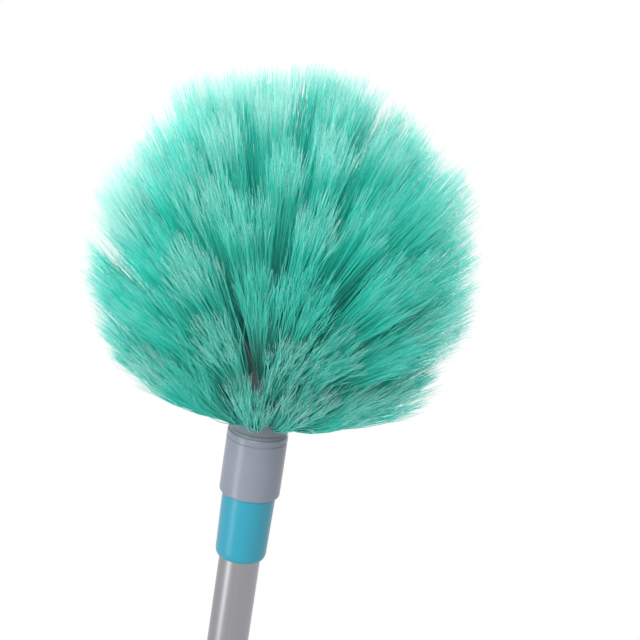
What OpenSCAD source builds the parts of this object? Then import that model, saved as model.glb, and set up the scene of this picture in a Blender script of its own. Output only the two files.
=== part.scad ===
// Cobweb brush: a round head of flagged bristles screwed onto a two-part telescopic pole.
// Millimetres. +Z runs up the pole to the head, and the origin is the centre of the hanging hole.

/* [Tubes] */
// Outer diameter of the upper tube
upper_tube_d = 22; // [18:0.5:26]
// Wall of the upper tube
upper_wall = 1; // [0.6:0.1:1.5]
// Length of the lower tube
lower_tube_len = 520; // [440:5:700]
// Wall of the lower tube
lower_wall = 1; // [0.6:0.1:1.5]
// Radial gap between the two tubes
tube_gap = 0.5; // [0.3:0.05:1]
// Length of upper tube that shows between the lock and the sleeve
tube_show = 124; // [60:1:200]
// Free way below the guide bush
slide_room = 112; // [20:1:140]

/* [Guide bush] */
// Length of the bush below the upper tube
bush_len = 36; // [20:1:60]
// Length of the bush's plug inside the upper tube
bush_plug_len = 18; // [10:1:30]
// Length of each of the bush's two guide bands
bush_band = 9; // [5:0.5:9.5]
// Depth of the waist between the bands
bush_waist = 0.8; // [0.4:0.1:1.2]
// Air hole through the bush
bush_hole_d = 8; // [5:0.5:12]

/* [Fits] */
// Radial clearance between pieces that move on each other
run_gap = 0.1; // [0.05:0.01:0.1]
// Radial clearance between pieces that are pressed or glued together
seat_gap = 0.1; // [0.05:0.01:0.1]

/* [Top sleeve] */
// Length of the sleeve that shows below the collar
sleeve_show = 37; // [25:1:60]
// Wall at the sleeve's lower end
sleeve_low_wall = 2.5; // [2:0.1:3]
// Wall at the sleeve's top
sleeve_top_wall = 3.1; // [2.6:0.1:4]
// How far the upper tube goes into the sleeve
sleeve_depth = 32; // [20:1:35]
// Height of the rounding at the sleeve's lower end
sleeve_round_h = 4; // [2:0.5:6]
// How far that rounding turns in
sleeve_round_in = 1.8; // [1:0.1:1.9]
// Length of the sleeve's inner plug in the tube
sleeve_plug_len = 14; // [8:1:20]
// Bore through the sleeve's plug and threaded spigot
spigot_bore_d = 14; // [12:0.5:15]
// Diameter of the threaded spigot that the head screws onto
spigot_d = 21; // [19:0.5:22]

/* [Collar] */
// Length of the grey collar
collar_len = 35; // [32:1:50]
// Wall of the collar round the sleeve
collar_wall = 1.8; // [1.5:0.1:3]
// How far the sleeve goes into the collar
collar_seat = 8; // [5:0.5:10]
// Thickness of the web between thread and cup
web_t = 3; // [2:0.5:4]
// Free room between spigot and web
web_room = 1; // [1:0.1:1.5]
// Depth of the cup that holds the brush block
cup_depth = 6; // [4:0.5:8]
// Wall of the cup
cup_wall = 2.6; // [2:0.1:3.5]
// Distance of the bead groove from the collar's top
bead_drop = 3.2; // [2.5:0.1:5]
// Width of the bead groove
bead_w = 1; // [0.6:0.1:1.4]
// Depth of the bead groove
bead_in = 0.4; // [0.2:0.1:0.6]
// Rounding of the collar's edges
collar_round = 0.9; // [0.4:0.1:1.2]

/* [Screw and washer] */
// Diameter of the screw
screw_d = 4; // [3:0.5:5]
// Length of the screw under its head
screw_len = 18; // [14:1:24]
// Diameter of the screw's head
screw_head_d = 8; // [7:0.5:9]
// Height of the screw's head
screw_head_h = 2.6; // [2:0.1:3.5]
// How much the screw's head narrows to its face, on each side
screw_head_taper = 1; // [0.4:0.1:1.5]
// Diameter of the washer
washer_d = 11; // [10:0.5:11.5]
// Thickness of the washer
washer_t = 1; // [0.6:0.1:1]
// Width of the screw's cross recess
recess_w = 1; // [0.6:0.1:1.2]
// Depth of the screw's cross recess
recess_in = 1.4; // [1:0.1:1.8]

/* [Brush block] */
// Largest diameter of the block
block_d = 44; // [40:1:54]
// Height of the block's widest ring above the collar
block_mid = 25; // [22:1:28]
// Height of the block above its widest ring
block_rise = 55; // [50:1:70]
// Reach of the block's lower curve below its widest ring, if it went on to the axis
block_drop = 33; // [31:1:40]
// Thickness of the core's flange on the collar
flange_t = 1.5; // [1:0.1:2]
// Diameter of the core's stem
stem_d = 20; // [16:0.5:24]
// Diameter of the stem in the top ring
stem_top_d = 12; // [9:0.5:14]
// Diameter of the stem's tip in the crown
stem_tip_d = 6; // [4:0.5:7]
// Height of the stem's tip
stem_tip_h = 2; // [1:0.1:2.2]

/* [Bristles] */
// Radius of the ball that the bristle tips lie on
ball_r = 100; // [85:1:120]
// Height of the ball's centre above the collar
ball_up = 93; // [85:1:110]
// Angle at the ball's centre from one row of tips to the next
tip_pitch = 19.7; // [18:0.1:20]
// Angle on the block from one row of roots to the next
root_pitch = 19.2; // [18.5:0.1:19.5]
// Distance from tuft to tuft round the ball
tuft_pitch = 34.5; // [33.5:0.5:42]
// Number of rows of tufts below the crown tuft
row_count = 6; // [6:1:6]
// Turn of each row against the one above
row_turn = 11; // [0:1:20]
// Number of strands round the middle strand of a tuft
side_strands = 4; // [3:1:4]
// Diameter of a strand
strand_d = 1.2; // [0.8:0.1:1.4]
// Distance of the side strands from the middle strand at the root
root_spread = 1.6; // [1.5:0.1:1.8]
// The same distance at the tip
tip_spread = 12; // [8:0.5:13]
// Depth of a strand in the block
strand_sink = 2.6; // [2.4:0.1:2.8]

/* [Tuft anchors] */
// Length of the wire anchor across a tuft
anchor_len = 2.8; // [2:0.1:3.2]
// Thickness of the anchor
anchor_w = 0.5; // [0.4:0.1:0.8]
// Height of the anchor
anchor_h = 1.6; // [1:0.1:1.6]
// Gap between a strand's end and the anchor
anchor_drop = 0.6; // [0.4:0.1:0.8]

/* [Pole lock] */
// Wall of the lock body's skirt round the lower tube
skirt_wall = 2; // [1.5:0.1:2.6]
// Length of the skirt
skirt_len = 30; // [20:1:40]
// How far the flange stands out past the skirt
lock_flange_out = 2; // [1.5:0.1:2.5]
// Thickness of the flange
lock_flange_t = 4; // [3:0.5:6]
// Wall of the threaded barrel
barrel_wall = 2.45; // [2:0.05:3]
// Length of the threaded barrel
barrel_len = 15; // [10:1:20]
// Length of the clamp ring
clamp_len = 12; // [8:1:16]
// Inward slope of the clamp ring's cone, from foot to top
clamp_taper = 1; // [0.6:0.1:1.1]
// Width of the slot in the clamp ring
clamp_slot = 2; // [1:0.1:3]
// Radial clearance between nut and barrel or clamp ring
nut_gap = 0.15; // [0.12:0.01:0.2]
// Clear height under the nut
nut_lift = 0.4; // [0.3:0.1:0.6]
// Wall of the nut round the barrel
nut_wall = 3.8; // [3:0.1:5]
// Thickness of the nut's top
nut_top = 5; // [4:0.5:8]
// Number of finger grooves in the nut
nut_grooves = 16; // [8:1:18]
// Diameter of the finger grooves
nut_groove_d = 3.6; // [2.5:0.1:4]
// Depth of the finger grooves
nut_groove_in = 0.9; // [0.5:0.1:1.2]

/* [Grip] */
// Length of the hand grip
grip_len = 130; // [100:1:160]
// Wall of the hand grip
grip_wall = 2.4; // [2:0.1:4]
// Length of the grip's plain lower part
grip_plain = 48; // [40:1:55]
// Number of grooves round the grip
grip_grooves = 6; // [3:1:8]
// Width of a groove
grip_groove_w = 3.2; // [2:0.1:4]
// Depth of a groove
grip_groove_in = 0.8; // [0.4:0.1:1.2]
// Length of the taper at the grip's top
grip_taper = 12; // [6:1:16]
// Rounding of the grip's lower edge
grip_round = 1.2; // [0.6:0.1:1.6]

/* [Hanging cap] */
// Diameter of the hanging hole
eye_hole_d = 9; // [6:0.5:10]
// Outer diameter of the eye
eye_d = 21; // [19:0.5:22]
// Thickness of the eye
eye_t = 9; // [7:0.5:10]
// Rounding of the eye's outer edge
eye_round = 2.2; // [1:0.1:3]
// Chamfer at the mouths of the hanging hole
eye_chamfer = 0.6; // [0.4:0.1:1]
// Distance from the hanging hole to the lower tube's end
cap_rise = 18; // [17:0.5:24]
// Thickness of the cap's flange
cap_flange_t = 3.5; // [2:0.5:4]
// How far the flange stays inside the grip's outer diameter
cap_flange_in = 0.6; // [0.3:0.1:1]
// Width of the flange's flat edge round the bell
bell_edge = 1; // [0.6:0.1:1.5]
// How much wider the bell's foot is than the eye, on each side
bell_out = 1; // [0.4:0.1:2]
// Distance from the hanging hole to the bell's foot
bell_over_hole = 1.5; // [1:0.1:2.5]
// Length of the cap's plug in the lower tube
cap_plug_len = 25; // [15:1:35]
// Wall of the plug
cap_plug_wall = 2; // [1.5:0.1:3]

/* [Hidden] */
$fn = 64;
// Overshoot of a cutting solid past the face it cuts
past = 1;

// Radii, from the upper tube outwards
upper_r = upper_tube_d / 2;
upper_bore_r = upper_r - upper_wall;
lower_bore_r = upper_r + tube_gap;
lower_r = lower_bore_r + lower_wall;
bush_r = lower_bore_r - run_gap;
sleeve_bore_r = upper_r + seat_gap;
sleeve_low_r = sleeve_bore_r + sleeve_low_wall;
sleeve_top_r = sleeve_bore_r + sleeve_top_wall;
collar_bore_r = sleeve_top_r + run_gap;
collar_r = collar_bore_r + collar_wall;
cup_r = collar_r - cup_wall;
neck_r = cup_r - seat_gap;
thread_bore_r = spigot_d / 2 + run_gap;
block_r = block_d / 2;

// Heights of the pole's lower half
lower_foot = cap_rise;
lower_end = lower_foot + lower_tube_len;
cap_plug_top = lower_foot + cap_plug_len;
grip_top = lower_foot + grip_len;
grip_r = lower_r + seat_gap + grip_wall;
flange_top = lower_end + lock_flange_t;
barrel_end = flange_top + barrel_len;
clamp_end = barrel_end + clamp_len;
nut_foot = flange_top + nut_lift;
nut_end = clamp_end + nut_top;

// Radii of the lock
skirt_bore_r = lower_r + seat_gap;
skirt_r = skirt_bore_r + skirt_wall;
lock_flange_r = skirt_r + lock_flange_out;
lock_bore_r = upper_r + run_gap;
barrel_r = lock_bore_r + barrel_wall;
clamp_foot_r = barrel_r - nut_gap;
nut_bore_r = barrel_r + nut_gap;
nut_r = nut_bore_r + nut_wall;
nut_hole_r = upper_r + tube_gap;

// Heights of the pole's upper half and of the head
sleeve_foot = nut_end + tube_show;
upper_end = sleeve_foot + sleeve_depth;
collar_foot = sleeve_foot + sleeve_show;
sleeve_end = collar_foot + collar_seat;
collar_end = collar_foot + collar_len;
cup_floor = collar_end - cup_depth;
web_foot = cup_floor - web_t;
spigot_end = web_foot - web_room;
bush_foot = cap_plug_top + slide_room;
upper_foot = bush_foot + bush_len;
upper_tube_len = upper_end - upper_foot;

// Travel of the upper half: down to the cap's plug, up to the lock's shoulder
echo(travel_down = slide_room, travel_up = lower_end - upper_foot);

// The block is an egg, and each row of roots is an angle on it from the top
function block_r_at(u) = block_r * sin(u);
function block_z_at(u) = collar_end + block_mid + (u < 90 ? block_rise : block_drop) * cos(u);
block_foot = collar_end + flange_t;
block_foot_u = 90 + asin((block_mid - flange_t) / block_drop);
// Share of the way between two rows at which a slice of the block ends
slice_cut = 0.7;
slice_steps = 5;
function slice_u(row) = row > row_count - 1 ? block_foot_u : (row + slice_cut) * root_pitch;
crown_foot = block_z_at(slice_u(1));
top_ring_foot = block_z_at(slice_u(2));
stem_tip_end = crown_foot + stem_tip_h;

// Tufts, as radius and height in the plane of the pole
function root_at(row) = [block_r_at(row * root_pitch), block_z_at(row * root_pitch)];
function tip_at(row) = [
    ball_r * sin(row * tip_pitch),
    collar_end + ball_up + ball_r * cos(row * tip_pitch)
];
function tuft_count(row) = row == 0 ? 1 : round(2 * PI * ball_r * sin(row * tip_pitch) / tuft_pitch);
function tuft_len(row) = norm(tip_at(row) - root_at(row));
function tuft_lean(row) = let (way = tip_at(row) - root_at(row)) atan2(way[0], way[1]);
anchor_z = -strand_sink - anchor_drop - anchor_h / 2;
// Height along a tuft at which the point [x, y] beside its middle strand meets the ball
function ball_reach(row, x, y) =
    let (
        slant = tuft_lean(row) - row * tip_pitch,
        centre_x = ball_r * sin(slant),
        centre_z = tuft_len(row) - ball_r * cos(slant)
    )
    centre_z + sqrt(ball_r * ball_r - (x - centre_x) * (x - centre_x) - y * y);

// Points of a quarter ellipse about [r, z], from angle a to angle b
function quarter(r, z, in, up, a, b, steps = 6) = [
    for (i = [0 : steps]) let (t = a + (b - a) * i / steps) [r + in * cos(t), z + up * sin(t)]
];

module ring(r_out, r_in, z_low, z_high) {
    translate([0, 0, z_low])
        difference() {
            cylinder(h = z_high - z_low, r = r_out);
            translate([0, 0, -past]) cylinder(h = z_high - z_low + 2 * past, r = r_in);
        }
}

module bore(r, z_low, z_high) {
    translate([0, 0, z_low]) cylinder(h = z_high - z_low, r = r);
}

// Grey collar: thread below, cup for the block above, and a web between them
module head_socket() {
    bead_top = collar_end - bead_drop;
    color([0.52, 0.56, 0.61])
        difference() {
            rotate_extrude()
                polygon(concat(
                    [[0, collar_foot]],
                    quarter(collar_r - collar_round, collar_foot + collar_round,
                            collar_round, collar_round, -90, 0),
                    [
                        [collar_r, bead_top - bead_w],
                        [collar_r - bead_in, bead_top - bead_w + bead_in],
                        [collar_r - bead_in, bead_top],
                        [collar_r, bead_top]
                    ],
                    quarter(collar_r - collar_round, collar_end - collar_round,
                            collar_round, collar_round, 0, 90),
                    [[0, collar_end]]
                ));
            bore(collar_bore_r, collar_foot - past, sleeve_end);
            bore(thread_bore_r, sleeve_end - past, web_foot);
            bore(screw_d / 2 + 3 * seat_gap, web_foot - past, cup_floor + past);
            bore(cup_r, cup_floor, collar_end + past);
        }
}

// Pan-head screw that holds the block in the collar
module socket_screw() {
    head_top = web_foot - washer_t;
    color("silver")
        difference() {
            union() {
                bore(screw_d / 2, head_top - past, head_top + screw_len);
                translate([0, 0, head_top - screw_head_h])
                    cylinder(h = screw_head_h, r1 = screw_head_d / 2 - screw_head_taper,
                             r2 = screw_head_d / 2);
            }
            for (turn = [0, 90])
                rotate([0, 0, turn])
                    translate([0, 0, head_top - screw_head_h])
                        cube([screw_head_d / 2, recess_w, 2 * recess_in], center = true);
        }
}

module socket_washer() {
    color("gainsboro")
        ring(washer_d / 2, screw_d / 2 + 2 * seat_gap, web_foot - washer_t, web_foot);
}

// Core of the block: neck in the cup, flange on the rim, stepped stem through the slices
module brush_core() {
    pilot_end = web_foot - washer_t + screw_len + past;
    color([0.62, 0.66, 0.68])
        difference() {
            union() {
                bore(neck_r, cup_floor, collar_end + flange_t / 2);
                bore(block_r_at(block_foot_u) - seat_gap, collar_end, block_foot);
                bore(stem_d / 2, collar_end, top_ring_foot);
                bore(stem_top_d / 2, collar_end, crown_foot);
                bore(stem_tip_d / 2, collar_end, stem_tip_end);
            }
            bore(screw_d / 2 + seat_gap, cup_floor - past, pilot_end);
        }
}

// One band of the block, from the row above to this row's lower edge, bored for the stem
module block_slice(u_high, u_low, bore_r, bore_top) {
    z_low = block_z_at(u_low);
    difference() {
        rotate_extrude()
            polygon(concat(
                [[0, z_low]],
                [
                    for (i = [0 : slice_steps])
                        let (u = u_low + (u_high - u_low) * i / slice_steps)
                            [block_r_at(u), block_z_at(u)]
                ],
                u_high > 0 ? [[0, block_z_at(u_high)]] : []
            ));
        bore(bore_r + seat_gap, z_low - past, bore_top);
    }
}

// Three-sided strand from point a to point b
module strand(a, b) {
    way = b - a;
    translate(a)
        rotate([0, acos(way[2] / norm(way)), atan2(way[1], way[0])])
            cylinder(h = norm(way), r = strand_d / 2, $fn = 3);
}

// Places its children at each root of a row, with +Z along the tuft
module at_tufts(row) {
    count = tuft_count(row);
    root = root_at(row);
    for (i = [0 : count - 1])
        rotate([0, 0, i * 360 / count + row * row_turn])
            translate([root[0], 0, root[1]])
                rotate([0, tuft_lean(row), 0])
                    children();
}

module tuft(row) {
    strand([0, 0, -strand_sink], [0, 0, tuft_len(row)]);
    for (i = [0 : side_strands - 1]) {
        way = [cos((i + 0.5) * 360 / side_strands), sin((i + 0.5) * 360 / side_strands), 0];
        tip = tip_spread * way;
        strand(root_spread * way - [0, 0, strand_sink], [tip[0], tip[1], ball_reach(row, tip[0], tip[1])]);
    }
}

module anchor(extra = 0) {
    translate([0, 0, anchor_z])
        cube([anchor_w + 2 * extra, anchor_len + 2 * extra, anchor_h + 2 * extra], center = true);
}

// A slice of the block with its tufts, and a sealed pocket round each wire anchor
module tuft_slice(rows, u_high, u_low, bore_r, bore_top) {
    color([0.25, 0.72, 0.64])
        difference() {
            union() {
                block_slice(u_high, u_low, bore_r, bore_top);
                for (row = rows)
                    at_tufts(row) tuft(row);
            }
            for (row = rows)
                at_tufts(row) anchor(seat_gap / 2);
        }
}

module tuft_crown() {
    tuft_slice([0, 1], 0, slice_u(1), stem_tip_d / 2, stem_tip_end + seat_gap);
}

module tuft_ring(number) {
    row = number + 1;
    u_high = slice_u(row - 1);
    shaft_r = number == 1 ? stem_top_d / 2 : stem_d / 2;
    tuft_slice([row], u_high, slice_u(row), shaft_r, block_z_at(u_high) + past);
}

module tuft_anchors() {
    color("silver")
        for (row = [0 : row_count])
            at_tufts(row) anchor();
}

// Teal sleeve glued over the tube's end, with the hollow threaded spigot on top
module pole_end_sleeve() {
    color([0.2, 0.6, 0.7])
        difference() {
            union() {
                difference() {
                    rotate_extrude()
                        polygon(concat(
                            [[0, sleeve_foot]],
                            quarter(sleeve_low_r - sleeve_round_in, sleeve_foot + sleeve_round_h,
                                    sleeve_round_in, sleeve_round_h, -90, 0),
                            [
                                [sleeve_top_r, collar_foot],
                                [sleeve_top_r, sleeve_end],
                                [0, sleeve_end]
                            ]
                        ));
                    bore(sleeve_bore_r, sleeve_foot - past, upper_end);
                }
                bore(upper_bore_r - seat_gap, upper_end - sleeve_plug_len, upper_end + past);
                bore(spigot_d / 2, upper_end, spigot_end);
            }
            bore(spigot_bore_d / 2, upper_end - sleeve_plug_len - past, spigot_end + past);
        }
}

module upper_tube() {
    color([0.74, 0.75, 0.78])
        ring(upper_r, upper_bore_r, upper_foot, upper_end);
}

// Bush on the upper tube's lower end: two guide bands, and a plug in the tube
module guide_bush() {
    waist_r = bush_r - bush_waist;
    color("dimgray")
        difference() {
            rotate_extrude()
                polygon([
                    [0, bush_foot],
                    [bush_r - bush_waist, bush_foot],
                    [bush_r, bush_foot + bush_waist],
                    [bush_r, bush_foot + bush_band],
                    [waist_r, bush_foot + bush_band + bush_waist],
                    [waist_r, upper_foot - bush_band - bush_waist],
                    [bush_r, upper_foot - bush_band],
                    [bush_r, upper_foot],
                    [upper_bore_r - seat_gap, upper_foot],
                    [upper_bore_r - seat_gap, upper_foot + bush_plug_len],
                    [0, upper_foot + bush_plug_len]
                ]);
            bore(bush_hole_d / 2, bush_foot - past, upper_foot + bush_plug_len + past);
        }
}

// Lock body glued over the lower tube's end: skirt, flange and threaded barrel
module lock_body() {
    lip = skirt_wall / 2;
    color([0.52, 0.56, 0.61])
        difference() {
            rotate_extrude()
                polygon([
                    [0, lower_end - skirt_len],
                    [skirt_r - lip, lower_end - skirt_len],
                    [skirt_r, lower_end - skirt_len + 2 * lip],
                    [skirt_r, lower_end - lock_flange_out],
                    [lock_flange_r, lower_end],
                    [lock_flange_r, flange_top],
                    [barrel_r, flange_top],
                    [barrel_r, barrel_end],
                    [0, barrel_end]
                ]);
            bore(skirt_bore_r, lower_end - skirt_len - past, lower_end);
            bore(lock_bore_r, lower_end - past, barrel_end + past);
        }
}

// Split conical ring that the nut closes on the upper tube
module clamp_ring() {
    color("dimgray")
        difference() {
            rotate_extrude()
                polygon([
                    [lock_bore_r, barrel_end],
                    [clamp_foot_r, barrel_end],
                    [clamp_foot_r - clamp_taper, clamp_end],
                    [lock_bore_r, clamp_end]
                ]);
            translate([0, -clamp_slot / 2, barrel_end - past])
                cube([2 * clamp_foot_r, clamp_slot, clamp_len + 2 * past]);
        }
}

// Teal twist nut with finger grooves that run out in points below its top
module lock_nut() {
    edge = nut_wall / 3;
    groove_len = nut_end - nut_foot - nut_top;
    color([0.2, 0.6, 0.7])
        difference() {
            rotate_extrude()
                polygon(concat(
                    [
                        [0, nut_foot],
                        [nut_r - edge, nut_foot],
                        [nut_r, nut_foot + edge],
                        [nut_r, nut_end - nut_top]
                    ],
                    quarter(nut_r - nut_wall, nut_end - nut_top, nut_wall, nut_top, 0, 90),
                    [[0, nut_end]]
                ));
            bore(nut_bore_r, nut_foot - past, barrel_end);
            translate([0, 0, barrel_end])
                cylinder(h = clamp_len, r1 = clamp_foot_r + nut_gap,
                         r2 = clamp_foot_r - clamp_taper + nut_gap);
            bore(nut_hole_r, clamp_end - past, nut_end + past);
            for (i = [0 : nut_grooves - 1])
                rotate([0, 0, i * 360 / nut_grooves])
                    translate([nut_r + nut_groove_d / 2 - nut_groove_in, 0, nut_foot - past]) {
                        cylinder(h = groove_len, r = nut_groove_d / 2, $fn = 24);
                        translate([0, 0, groove_len])
                            cylinder(h = nut_top, r1 = nut_groove_d / 2, r2 = 0, $fn = 24);
                    }
        }
}

module lower_tube() {
    color([0.7, 0.71, 0.74])
        ring(lower_r, lower_bore_r, lower_foot, lower_end);
}

// Soft moulded grip: a plain lower part, grooves above it and a tapered top
module hand_grip() {
    neck = skirt_bore_r + grip_wall / 3;
    groove_foot = lower_foot + grip_plain;
    groove_pitch = (grip_top - grip_taper - groove_foot) / grip_grooves;
    color([0.2, 0.6, 0.7])
        difference() {
            rotate_extrude()
                polygon(concat(
                    [[0, lower_foot]],
                    quarter(grip_r - grip_round, lower_foot + grip_round,
                            grip_round, grip_round, -90, 0),
                    [
                        for (i = [0 : grip_grooves - 1])
                            let (z = groove_foot + i * groove_pitch)
                                each [
                                    [grip_r, z],
                                    [grip_r - grip_groove_in, z + grip_groove_in],
                                    [grip_r - grip_groove_in, z + grip_groove_w - grip_groove_in],
                                    [grip_r, z + grip_groove_w]
                                ]
                    ],
                    [
                        [grip_r, grip_top - grip_taper],
                        [neck, grip_top],
                        [0, grip_top]
                    ]
                ));
            bore(skirt_bore_r, lower_foot - past, grip_top + past);
        }
}

// End cap: an eye with the hanging hole, a bell up to the flange, and a hollow plug
module hang_cap() {
    eye_r = eye_d / 2;
    flange_r = grip_r - cap_flange_in;
    flange_foot = lower_foot - cap_flange_t;
    bell_r = eye_t / 2 + bell_out;
    bell_foot = eye_hole_d / 2 + bell_over_hole;
    color([0.52, 0.56, 0.61])
        difference() {
            union() {
                rotate([90, 0, 0])
                    rotate_extrude()
                        polygon(concat(
                            [[0, -eye_t / 2]],
                            quarter(eye_r - eye_round, -eye_t / 2 + eye_round,
                                    eye_round, eye_round, -90, 0),
                            quarter(eye_r - eye_round, eye_t / 2 - eye_round,
                                    eye_round, eye_round, 0, 90),
                            [[0, eye_t / 2]]
                        ));
                rotate_extrude()
                    polygon(concat(
                        [[0, bell_foot], [bell_r, bell_foot]],
                        quarter(flange_r - bell_edge, bell_foot, bell_r - flange_r + bell_edge,
                                flange_foot - bell_foot, 0, 90),
                        [[flange_r, flange_foot], [flange_r, lower_foot], [0, lower_foot]]
                    ));
                ring(lower_bore_r - seat_gap, lower_bore_r - seat_gap - cap_plug_wall,
                     lower_foot - past, cap_plug_top);
            }
            rotate([90, 0, 0]) {
                cylinder(h = eye_t + 2 * past, r = eye_hole_d / 2, center = true);
                for (side = [0, 1])
                    mirror([0, 0, side])
                        translate([0, 0, eye_t / 2 - eye_chamfer])
                            cylinder(h = 2 * eye_chamfer, r1 = eye_hole_d / 2,
                                     r2 = eye_hole_d / 2 + 2 * eye_chamfer);
            }
        }
}

head_socket();
socket_screw();
socket_washer();
brush_core();
tuft_crown();
tuft_ring(1);  // tuft_ring_1
tuft_ring(2);  // tuft_ring_2
tuft_ring(3);  // tuft_ring_3
tuft_ring(4);  // tuft_ring_4
tuft_ring(5);  // tuft_ring_5
tuft_anchors();
pole_end_sleeve();
upper_tube();
guide_bush();
lock_body();
clamp_ring();
lock_nut();
lower_tube();
hand_grip();
hang_cap();
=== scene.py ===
"""A cobweb brush: a round head of flagged bristles, screwed onto a telescopic pole.

Metres, +Z up the pole, with the origin in the centre of the hanging hole.
"""

import math

import bpy
from mathutils import Matrix, Vector


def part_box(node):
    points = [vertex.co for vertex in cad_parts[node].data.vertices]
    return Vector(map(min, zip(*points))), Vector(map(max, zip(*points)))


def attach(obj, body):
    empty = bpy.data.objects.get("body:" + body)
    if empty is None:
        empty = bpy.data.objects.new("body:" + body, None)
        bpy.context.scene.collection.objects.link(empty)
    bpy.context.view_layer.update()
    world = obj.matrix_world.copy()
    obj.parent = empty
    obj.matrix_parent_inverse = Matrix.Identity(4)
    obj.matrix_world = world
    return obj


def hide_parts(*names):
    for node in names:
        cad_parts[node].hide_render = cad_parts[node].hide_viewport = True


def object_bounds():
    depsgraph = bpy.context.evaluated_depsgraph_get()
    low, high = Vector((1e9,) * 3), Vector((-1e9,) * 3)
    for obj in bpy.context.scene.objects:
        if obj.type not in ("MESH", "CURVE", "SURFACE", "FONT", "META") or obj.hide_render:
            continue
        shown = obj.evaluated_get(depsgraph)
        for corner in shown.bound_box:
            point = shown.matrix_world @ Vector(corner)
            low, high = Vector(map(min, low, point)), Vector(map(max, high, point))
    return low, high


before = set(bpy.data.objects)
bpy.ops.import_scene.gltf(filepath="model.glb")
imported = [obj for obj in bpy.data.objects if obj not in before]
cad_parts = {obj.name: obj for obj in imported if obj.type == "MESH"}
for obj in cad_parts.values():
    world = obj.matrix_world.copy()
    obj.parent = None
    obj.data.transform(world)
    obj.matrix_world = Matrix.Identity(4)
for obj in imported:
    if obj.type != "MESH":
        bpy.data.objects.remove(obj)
cad_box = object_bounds()

# The camera stands a little above the level of the head and looks down along the pole.
# A long lens keeps the pole's sides parallel, and the roll gives the pole its lean.
collar_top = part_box("head_socket")[1].z
collar_top_px = (258.3, 430.0)
picture_px = 640
tube_width = 0.022
tube_width_px = 42
pixel = tube_width / tube_width_px
camera_distance = 1.2
camera_down = math.radians(18.5)
camera_roll = math.radians(8.7)
forward = Vector((0, math.cos(camera_down), -math.sin(camera_down)))
level = forward.cross(Vector((0, 0, 1))).normalized()
upright = level.cross(forward)
right = math.cos(camera_roll) * level + math.sin(camera_roll) * upright
up = math.cos(camera_roll) * upright - math.sin(camera_roll) * level
aim = Vector((0, 0, collar_top))
aim += right * (picture_px / 2 - collar_top_px[0]) * pixel
aim += up * (collar_top_px[1] - picture_px / 2) * pixel
lens = bpy.data.cameras.new("camera")
lens.sensor_width = 36
lens.lens = lens.sensor_width * camera_distance / (pixel * picture_px)
camera = bpy.data.objects.new("camera", lens)
camera_turn = Matrix((right, up, -forward)).transposed().to_4x4()
camera.matrix_world = Matrix.Translation(aim - forward * camera_distance) @ camera_turn
bpy.context.scene.collection.objects.link(camera)
bpy.context.scene.camera = camera
bpy.context.scene.view_settings.view_transform = "Standard"


# The pole's two tubes are drawn aluminium with a satin finish. One slides in the other.
# The finish has fine streaks along the tube and faint dull patches from handling.
class Wire:
    """One output socket. Expressions add Math nodes, or Vector Math nodes on a vector."""

    def __init__(self, graph, socket):
        self.graph = graph
        self.socket = socket
        self.wide = socket.type == "VECTOR"

    def of(self, operation, *others):
        wide = self.wide or any(getattr(other, "wide", False) for other in others)
        kind = "ShaderNodeVectorMath" if wide else "ShaderNodeMath"
        inputs = dict(enumerate((self, *others)))
        return next(iter(self.graph.add(kind, inputs, operation=operation).values()))

    def __add__(self, other):
        return self.of("ADD", other)

    def __sub__(self, other):
        return self.of("SUBTRACT", other)

    def __rsub__(self, other):
        return self * -1.0 + other

    def __mul__(self, other):
        other_wide = getattr(other, "wide", isinstance(other, tuple))
        if other_wide and not self.wide:
            return other * self
        if self.wide and not other_wide:
            inputs = {0: self, "Scale": other}
            return self.graph.add("ShaderNodeVectorMath", inputs, operation="SCALE")["Vector"]
        return self.of("MULTIPLY", other)

    def __truediv__(self, other):
        return self.of("DIVIDE", other)

    def __pow__(self, other):
        return self.of("POWER", other)


class Graph:
    """A node tree. It adds a node with its settings, and values or wires for its inputs."""

    def __init__(self, tree):
        self.tree = tree

    def add(self, kind, inputs=None, **settings):
        node = self.tree.nodes.new(kind)
        for name, value in settings.items():
            setattr(node, name, value)
        live = [socket for socket in node.inputs if socket.enabled]
        for name, value in (inputs or {}).items():
            by_number = isinstance(name, int)
            socket = live[name] if by_number else next(s for s in live if s.name == name)
            for one in value if isinstance(value, list) else [value]:
                if isinstance(one, Wire):
                    self.tree.links.new(one.socket, socket)
                else:
                    socket.default_value = one
        return {socket.name: Wire(self, socket) for socket in node.outputs if socket.enabled}


def finish(name, **constants):
    """A material with one Principled shader, its constants set, and its graph."""
    material = bpy.data.materials.new(name)
    material.use_nodes = True
    shader = material.node_tree.nodes["Principled BSDF"]
    for socket, value in constants.items():
        shader.inputs[socket.replace("_", " ")].default_value = value
    return material, Graph(material.node_tree), shader


def feed(node, **wires):
    for socket, wire in wires.items():
        wire.graph.tree.links.new(wire.socket, node.inputs[socket.replace("_", " ")])


def cloudiness(graph, place, scale, detail=2.0):
    """Soft random patches, from 0 to 1, smaller as the scale grows."""
    inputs = {"Vector": place, "Scale": scale, "Detail": detail}
    return graph.add("ShaderNodeTexNoise", inputs)["Fac"]


def spread(wire, low, high):
    """The wire, which runs from 0 to 1, laid between two numbers."""
    return wire * (high - low) + low


def tint(graph, factor, stops):
    """A colour from a row of stops, by a factor from 0 to 1."""
    colour = graph.add("ShaderNodeValToRGB", {"Fac": factor})["Color"]
    ramp = colour.socket.node.color_ramp.elements
    ramp.remove(ramp[0])
    for number, (place, shade) in enumerate(stops):
        stop = ramp[0] if number == 0 else ramp.new(place)
        stop.position = place
        stop.color = (*shade, 1)
    return colour


def bump(graph, height, depth):
    """A normal from a height in 0 to 1, with the depth in metres."""
    inputs = {"Strength": 1.0, "Distance": depth, "Height": height}
    return graph.add("ShaderNodeBump", inputs)["Normal"]


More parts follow.
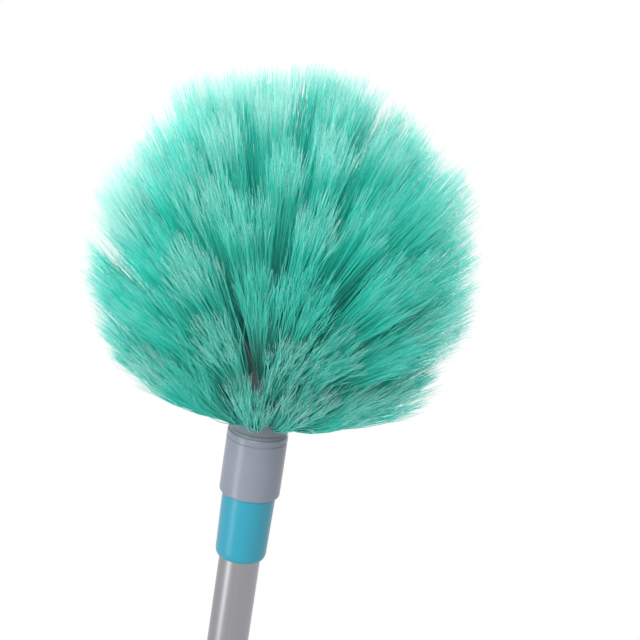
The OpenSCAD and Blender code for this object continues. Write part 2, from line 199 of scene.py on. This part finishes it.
def metal(name, dark, light, roughness):
    """A metal with streaks along the pole and broad, faint patches."""
    streak_scale = (900.0, 900.0, 4.0)
    patch_scale = (60.0, 60.0, 14.0)
    material, graph, shader = finish(name, Metallic=1.0)
    place = graph.add("ShaderNodeTexCoord")["Object"]
    streaks = cloudiness(graph, place * streak_scale, 1.0, 3.0)
    patches = cloudiness(graph, place * patch_scale, 1.0)
    feed(
        shader,
        Base_Color=tint(graph, streaks, [(0.0, dark), (1.0, light)]),
        Roughness=spread(streaks * 0.6 + patches * 0.4, *roughness),
    )
    return material


def dress(material, *nodes):
    """Gives CAD nodes their material."""
    for node in nodes:
        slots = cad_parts[node].data.materials
        slots.clear()
        slots.append(material)


aluminium = metal("satin_aluminium", (0.27, 0.27, 0.285), (0.33, 0.33, 0.35), (0.28, 0.4))
dress(aluminium, "upper_tube", "lower_tube")


# The bush that is plugged into the upper tube's end and the split clamp ring are dark nylon.
# They rub on the bare tubes, so their faces are dull, with a fine scuffed grain.
def moulding(name, dark, light, roughness, grain=2500.0, depth=0.00003):
    """A plastic or rubber that is hardly uneven in colour, with a fine grain."""
    cloud_scale = 35.0
    material, graph, shader = finish(name)
    place = graph.add("ShaderNodeTexCoord")["Object"]
    cloud = cloudiness(graph, place, cloud_scale)
    fine = cloudiness(graph, place, grain)
    feed(
        shader,
        Base_Color=tint(graph, cloud, [(0.0, dark), (1.0, light)]),
        Roughness=spread(cloud * 0.5 + fine * 0.5, *roughness),
        Normal=bump(graph, fine, depth),
    )
    return material


nylon = moulding("dark_nylon", (0.018, 0.019, 0.021), (0.03, 0.032, 0.034), (0.45, 0.6))
dress(nylon, "guide_bush", "clamp_ring")

# The lock body glued on the lower tube, the collar under the brush and the hanging cap, which
# is plugged into the lower tube's end, are mouldings of one grey plastic.
# Its skin is smooth and half gloss, and shows a soft upright highlight.
smooth_skin = {"grain": 1800.0, "depth": 0.000005}
grey_plastic = moulding(
    "grey_moulding", (0.195, 0.215, 0.262), (0.22, 0.24, 0.287), (0.24, 0.3), **smooth_skin
)
dress(grey_plastic, "lock_body", "head_socket", "hang_cap")

# The sleeve that the head screws onto and the twist nut of the lock are teal mouldings.
# Their skin is as smooth as the grey one. The colour is in the plastic and hardly changes.
teal_plastic = moulding(
    "teal_moulding", (0.014, 0.25, 0.35), (0.02, 0.285, 0.39), (0.26, 0.34), **smooth_skin
)
dress(teal_plastic, "pole_end_sleeve", "lock_nut")

# The hand grip is soft rubber, moulded with a fine matt grain.
# It is slid over the lower tube and glued.
rubber_skin = {"grain": 1400.0, "depth": 0.00008}
grip_rubber = moulding(
    "grip_rubber", (0.03, 0.25, 0.33), (0.036, 0.29, 0.38), (0.55, 0.7), **rubber_skin
)
dress(grip_rubber, "hand_grip")

# The screw, its washer and the tufts' wire anchors are zinc-plated steel.
# They hold the block in the collar and the tufts in the block, out of sight.
zinc = metal("zinc_plate", (0.5, 0.5, 0.48), (0.62, 0.62, 0.6), (0.25, 0.4))
dress(zinc, "socket_screw", "socket_washer", "tuft_anchors")

# The block is one grey moulding, an egg that the tufts are punched into.
# Its core has the neck and flange that sit in the collar's cup. The turned egg stands for
# the slices of the block that the tuft nodes hold.
# Its grey is darker than the collar's. This is painted shade for the block, its neck and its
# flange, which show only in the gaps between the tufts and at the collar's rim.
block_plastic = moulding("block_moulding_painted_shade", (0.14, 0.165, 0.19), (0.17, 0.2, 0.225), (0.4, 0.55))
dress(block_plastic, "brush_core")
block_radius = 0.022
block_middle = 0.025
block_rise = 0.055
block_drop = 0.033
block_foot = 0.0015
block_steps = 36


def block_point(turn):
    """Radius and height of the block's surface, by the angle from its top."""
    reach = block_rise if turn < math.pi / 2 else block_drop
    return block_radius * math.sin(turn), collar_top + block_middle + reach * math.cos(turn)


def lathe(name, outline, turns=96):
    """A smooth mesh turned round the pole from an outline of radius and height."""
    points = []
    faces = []
    rings = []
    for radius, height in outline:
        if radius < 1e-6:
            rings.append([len(points)] * turns)
            points.append((0, 0, height))
            continue
        rings.append(range(len(points), len(points) + turns))
        for i in range(turns):
            angle = 2 * math.pi * i / turns
            points.append((radius * math.cos(angle), radius * math.sin(angle), height))
    for low, high in zip(rings, rings[1:]):
        for i in range(turns):
            j = (i + 1) % turns
            faces.append(list(dict.fromkeys((low[i], low[j], high[j], high[i]))))
    mesh = bpy.data.meshes.new(name)
    mesh.from_pydata(points, [], faces)
    mesh.polygons.foreach_set("use_smooth", [True] * len(mesh.polygons))
    return mesh


def piece(name, mesh, material, body, slot, *replaced):
    """A piece with its place in its mesh, which rides on a body and may replace nodes."""
    made = bpy.data.objects.new(name, mesh)
    bpy.context.scene.collection.objects.link(made)
    mesh.materials.clear()
    mesh.materials.append(material)
    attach(made, body)
    if replaced:
        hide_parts(*replaced)


foot_turn = math.pi / 2 + math.asin((block_middle - block_foot) / block_drop)
block_outline = [(0.0, collar_top + block_foot)]
for i in range(block_steps + 1):
    block_outline.append(block_point(foot_turn * (1 - i / block_steps)))
piece("brush_block", lathe("brush_block", block_outline), block_plastic, "head", "block_plastic")

# The tufts are bundles of polypropylene filaments, folded over a wire in their holes.
# They are trimmed to a ball, and each filament's end is split into finer hairs.
ball_radius = 0.1
ball_height = 0.093
row_count = 6
tip_pitch = math.radians(19.7)
root_pitch = math.radians(19.2)
row_turn = math.radians(11)
tuft_pitch = 0.0345
crown_rows = 3
crown_fan_radius = 0.01
last_row_stretch = 1.5
last_row_sag = 0.009
shaft_points = 5
hairs = 3
hair_points = 3
numbers_a_filament = 5
bristle_inputs = {
    "Tufts": 1,
    "Filaments": 115,
    "Turn": 0.0,
    "Root Radius": 0.0,
    "Root Height": 0.0,
    "Tip Radius": 0.0,
    "Tip Height": 0.0,
    "Ball Radius": ball_radius,
    "Ball Height": collar_top + ball_height,
    "Hole Radius": 0.0021,
    "Fan Radius": 0.0155,
    "Fan Stretch": 1.2,
    "Filament Shift": 0.003,
    "Tuft Shift": 0.007,
    "Bow": 0.0012,
    "Bow Ahead": 0.002,
    "Sag": 0.0,
    "Longest Filament": 1.03,
    "Filament Trim": 0.18,
    "Shortest Tuft": 0.93,
    "Longest Tuft": 1.02,
    "Filament Radius": 0.00022,
    "Hair Thinning": 0.5,
    "Tip Thinning": 0.4,
    "Split From": 0.8,
    "Split Reach": 0.0026,
    "Seed": 0,
}

bristle_plastic, graph, shader = finish(
    "bristle", Roughness=0.4, Sheen_Weight=0.6, Sheen_Roughness=0.4, Sheen_Tint=(0.4, 1, 0.9, 1)
)
along = graph.add("ShaderNodeAttribute", attribute_name="along")["Fac"]
tone = graph.add("ShaderNodeAttribute", attribute_name="tone")["Fac"]
usual_tone = 0.64
tone_share = 0.3
light_let_through = 0.4
# Along each filament the colour is darker near the root, which is painted shade deep among the
# tufts. It is pale at the end: partly the split hairs' own whitening, partly painted light of
# the white surround shining through the thin tips.
bristle_colour = tint(
    graph,
    along + (tone - usual_tone) * tone_share,
    [
        (0.0, (0.03, 0.58, 0.5)),
        (0.3, (0.06, 0.86, 0.75)),
        (0.8, (0.08, 0.9, 0.8)),
        (0.9, (0.36, 0.96, 0.89)),
        (1.0, (0.74, 1.0, 0.95)),
    ],
)
feed(shader, Base_Color=bristle_colour)
surface = Wire(graph, shader.outputs["BSDF"])
through = graph.add("ShaderNodeBsdfTranslucent", {"Color": bristle_colour})["BSDF"]
both = graph.add("ShaderNodeMixShader", {0: light_let_through, 1: surface, 2: through})["Shader"]
feed(graph.tree.nodes["Material Output"], Surface=both)


def bristle_tree():
    """Geometry nodes that grow one row of tufts from the block to the ball."""
    tree = bpy.data.node_groups.new("bristle_row", "GeometryNodeTree")
    tree.interface.new_socket("Geometry", in_out="OUTPUT", socket_type="NodeSocketGeometry")
    identifiers = {}
    for name, value in bristle_inputs.items():
        kind = "NodeSocketInt" if isinstance(value, int) else "NodeSocketFloat"
        socket = tree.interface.new_socket(name, in_out="INPUT", socket_type=kind)
        socket.default_value = value
        identifiers[name] = socket.identifier
    graph = Graph(tree)
    given = graph.add("NodeGroupInput")
    index = graph.add("GeometryNodeInputIndex")["Index"]

    def chance(number, key, low=0.0, high=1.0):
        """A random number for each key. Its own number keeps it apart from the others."""
        inputs = {"Min": low, "Max": high, "ID": key, "Seed": given["Seed"] + number}
        return graph.add("FunctionNodeRandomValue", inputs, data_type="FLOAT")["Value"]

    def shift(number, key):
        """A random vector for each key, within 1 of nothing on each axis."""
        inputs = {
            "Min": (-1.0, -1.0, -1.0),
            "Max": (1.0, 1.0, 1.0),
            "ID": key,
            "Seed": given["Seed"] + number,
        }
        return graph.add("FunctionNodeRandomValue", inputs, data_type="FLOAT_VECTOR")["Value"]

    def vector(x, y, z):
        return graph.add("ShaderNodeCombineXYZ", {0: x, 1: y, 2: z})["Vector"]

    def keep(geometry, name, value):
        """Stores a number or a vector on the points under a name."""
        kind = "FLOAT_VECTOR" if getattr(value, "wide", False) else "FLOAT"
        inputs = {"Geometry": geometry, "Name": name, "Value": value}
        return graph.add(
            "GeometryNodeStoreNamedAttribute", inputs, data_type=kind, domain="POINT"
        )["Geometry"]

    def kept(name, kind="FLOAT"):
        attribute = graph.add("GeometryNodeInputNamedAttribute", {"Name": name}, data_type=kind)
        return attribute["Attribute"]

    # Each tuft's place in its row, and the way it points.
    tuft = (index / given["Filaments"]).of("FLOOR")
    around = tuft / given["Tufts"] * (2 * math.pi) + given["Turn"]
    out = vector(around.of("COSINE"), around.of("SINE"), 0.0)
    along_row = vector(around.of("SINE") * -1.0, around.of("COSINE"), 0.0)
    root_middle = out * given["Root Radius"] + vector(0.0, 0.0, given["Root Height"])
    tip_middle = out * given["Tip Radius"] + vector(0.0, 0.0, given["Tip Height"])
    way = (tip_middle - root_middle).of("NORMALIZE")
    side = along_row.of("CROSS_PRODUCT", way)

    # Each filament's root in the hole, its tip in the fan, trimmed to the ball, and its bow.
    angle = chance(1, index, 0.0, 2 * math.pi)
    outness = chance(2, index) ** 0.5
    hole = side * angle.of("COSINE") + along_row * angle.of("SINE")
    fan = side * (angle.of("COSINE") * given["Fan Stretch"]) + along_row * angle.of("SINE")
    root = root_middle + hole * (outness * given["Hole Radius"])
    aimed = tip_middle + fan * (outness * given["Fan Radius"])
    aimed = aimed + shift(3, index) * given["Filament Shift"]
    aimed = aimed + shift(4, tuft) * given["Tuft Shift"]
    cut = chance(5, index)
    tuft_length = chance(6, tuft, given["Shortest Tuft"], given["Longest Tuft"])
    length = (given["Longest Filament"] - cut * cut * given["Filament Trim"]) * tuft_length
    centre = vector(0.0, 0.0, given["Ball Height"])
    tip = (aimed - centre).of("NORMALIZE") * (length * given["Ball Radius"]) + centre
    bow = shift(7, index) * given["Bow"] + way * given["Bow Ahead"]
    middle = (root + tip) * 0.5 + bow - vector(0.0, 0.0, given["Sag"])

    count = given["Tufts"] * given["Filaments"]
    points = graph.add("GeometryNodePoints", {"Count": count})["Points"]
    points = keep(points, "root", root)
    points = keep(points, "middle", middle)
    points = keep(points, "tip", tip)
    points = keep(points, "strand", index)
    points = keep(points, "tone", chance(8, index) * 0.5 + chance(9, tuft) * 0.5)

    # One straight filament with its split hairs, which every point gets a copy of.
    def line(count, low, high, branch):
        start = vector(0.0, 0.0, low)
        end = vector(0.0, 0.0, high)
        inputs = {"Count": count, "Start Location": start, "Offset": end}
        mesh = graph.add("GeometryNodeMeshLine", inputs, mode="END_POINTS")["Mesh"]
        return keep(mesh, "branch", float(branch))

    split = given["Split From"]
    lines = [line(shaft_points, 0.0, split, 0)]
    for branch in range(1, hairs + 1):
        lines.append(line(hair_points, split, 1.0, branch))
    filament = graph.add("GeometryNodeJoinGeometry", {"Geometry": lines})["Geometry"]
    place = graph.add("GeometryNodeInputPosition")["Position"]
    filament = keep(filament, "along", graph.add("ShaderNodeSeparateXYZ", {0: place})["Z"])
    inputs = {"Points": points, "Instance": filament}
    row = graph.add("GeometryNodeInstanceOnPoints", inputs)["Instances"]
    row = graph.add("GeometryNodeRealizeInstances", {"Geometry": row})["Geometry"]

    # Every copy is bent from its root through its middle to its tip, and its hairs spread.
    # Each hair has a number of its own for its draw, from its filament's and its branch's.
    along = kept("along")
    back = 1.0 - along
    branch = kept("branch")
    flare = (along - split).of("MAXIMUM", 0.0) / (1.0 - split)
    hair = kept("strand") * numbers_a_filament + branch
    bent = kept("root", "FLOAT_VECTOR") * (back * back)
    bent = bent + kept("middle", "FLOAT_VECTOR") * (along * back * 2.0)
    bent = bent + kept("tip", "FLOAT_VECTOR") * (along * along)
    bent = bent + shift(10, hair) * (flare * given["Split Reach"])
    row = graph.add("GeometryNodeSetPosition", {"Geometry": row, "Position": bent})["Geometry"]

    # The lines are swept to thin three-sided filaments, thinner in the hairs and the tips.
    curves = graph.add("GeometryNodeMeshToCurve", {"Mesh": row})["Curve"]
    thinning = 1.0 - branch.of("MINIMUM", 1.0) * given["Hair Thinning"]
    radius = given["Filament Radius"] * thinning * (1.0 - flare * given["Tip Thinning"])
    inputs = {"Resolution": 3, "Radius": 1.0}
    profile = graph.add("GeometryNodeCurvePrimitiveCircle", inputs)["Curve"]
    inputs = {"Curve": curves, "Profile Curve": profile, "Scale": radius, "Fill Caps": True}
    mesh = graph.add("GeometryNodeCurveToMesh", inputs)["Mesh"]
    for name in ("root", "middle", "tip", "strand", "branch"):
        inputs = {"Geometry": mesh, "Name": name}
        mesh = graph.add("GeometryNodeRemoveAttribute", inputs)["Geometry"]
    mesh = graph.add("GeometryNodeRealizeInstances", {"Geometry": mesh})["Geometry"]
    inputs = {"Geometry": mesh, "Material": bristle_plastic}
    mesh = graph.add("GeometryNodeSetMaterial", inputs)["Geometry"]
    graph.add("NodeGroupOutput", {"Geometry": mesh})
    return tree, identifiers


tree, identifiers = bristle_tree()
for row in range(row_count + 1):
    turn = row * tip_pitch
    root_radius, root_height = block_point(row * root_pitch)
    tip_radius = ball_radius * math.sin(turn)
    sizes = {
        "Tufts": max(1, round(2 * math.pi * tip_radius / tuft_pitch)),
        "Turn": row * row_turn,
        "Root Radius": root_radius,
        "Root Height": root_height,
        "Tip Radius": tip_radius,
        "Tip Height": collar_top + ball_height + ball_radius * math.cos(turn),
        "Seed": 100 * row,
    }
    if row < crown_rows:
        sizes["Fan Radius"] = crown_fan_radius
    if row == row_count:
        sizes["Fan Stretch"] = last_row_stretch
        sizes["Sag"] = last_row_sag
    grower = bpy.data.objects.new("grower", bpy.data.meshes.new("grower"))
    bpy.context.scene.collection.objects.link(grower)
    growth = grower.modifiers.new("growth", "NODES")
    growth.node_group = tree
    for name, value in sizes.items():
        growth[identifiers[name]] = value
    drawn = bpy.context.evaluated_depsgraph_get()
    grown = bpy.data.meshes.new_from_object(
        grower.evaluated_get(drawn), preserve_all_data_layers=True, depsgraph=drawn
    )
    grower.modifiers.clear()
    bpy.data.objects.remove(grower)
    node = "tuft_crown" if row < 2 else f"tuft_ring_{row - 1}"
    piece(f"bristles_row_{row}", grown, bristle_plastic, "head", "bristle", node)


# The studio has a pale floor under the pole, a white surround and four soft lamps.
# The floor fades into the surround, and the tall left lamp draws the collar's highlight.
def seen_rays(graph):
    """1 for the rays that show the surround, and 0 for those that light the brush."""
    rays = graph.add("ShaderNodeLightPath")
    seen = rays["Is Camera Ray"].of("MAXIMUM", rays["Is Glossy Ray"])
    return seen.of("MAXIMUM", rays["Is Transmission Ray"])


world = bpy.data.worlds.new("studio")
bpy.context.scene.world = world
world.use_nodes = True
world.node_tree.nodes.clear()
graph = Graph(world.node_tree)
inputs = {"Color": (0.95, 0.97, 1.0, 1), "Strength": 0.55}
soft = graph.add("ShaderNodeBackground", inputs)["Background"]
inputs = {"Color": (1, 1, 1, 1), "Strength": 1.0}
white = graph.add("ShaderNodeBackground", inputs)["Background"]
surround = graph.add("ShaderNodeMixShader", {0: seen_rays(graph), 1: soft, 2: white})["Shader"]
graph.add("ShaderNodeOutputWorld", {"Surface": surround})

floor_radius = 1.3
floor_height = cad_box[0].z - 0.001
floor_paint = bpy.data.materials.new("floor_paint")
floor_paint.use_nodes = True
floor_paint.node_tree.nodes.clear()
graph = Graph(floor_paint.node_tree)
place = graph.add("ShaderNodeTexCoord")["Object"]
fade = seen_rays(graph) * (place.of("LENGTH") / floor_radius) ** 2.0
pale = graph.add("ShaderNodeBsdfDiffuse", {"Color": (0.9, 0.9, 0.9, 1)})["BSDF"]
inputs = {"Color": (1, 1, 1, 1), "Strength": 1.0}
white = graph.add("ShaderNodeEmission", inputs)["Emission"]
above = graph.add("ShaderNodeMixShader", {0: fade, 1: pale, 2: white})["Shader"]
below = graph.add("ShaderNodeBsdfTransparent")["BSDF"]
behind = graph.add("ShaderNodeNewGeometry")["Backfacing"]
both = graph.add("ShaderNodeMixShader", {0: behind, 1: above, 2: below})["Shader"]
graph.add("ShaderNodeOutputMaterial", {"Surface": both})
floor = bpy.data.objects.new(
    "floor", lathe("floor", [(0.0, floor_height), (floor_radius, floor_height)])
)
floor.data.materials.append(floor_paint)
bpy.context.scene.collection.objects.link(floor)


def lamp(name, place, look_at, width, height, power):
    data = bpy.data.lights.new(name, "AREA")
    data.shape = "RECTANGLE"
    data.size = width
    data.size_y = height
    data.energy = power
    made = bpy.data.objects.new(name, data)
    bpy.context.scene.collection.objects.link(made)
    turned = (Vector(place) - Vector(look_at)).to_track_quat("Z", "Y").to_matrix().to_4x4()
    made.matrix_world = Matrix.Translation(place) @ turned


head_middle = (0, 0, collar_top + ball_height)
lamp("tall_left_lamp", (-1.2, -0.87, 0.9), (0, 0, 0.9), 0.5, 1.9, 11)
lamp("front_lamp", (-0.25, -1.5, 1.5), head_middle, 0.9, 0.9, 22)
lamp("top_lamp", (0.2, -0.1, 2.3), head_middle, 1.2, 1.2, 16)
lamp("back_lamp", (0.4, 1.6, 1.3), head_middle, 1.0, 1.4, 14)
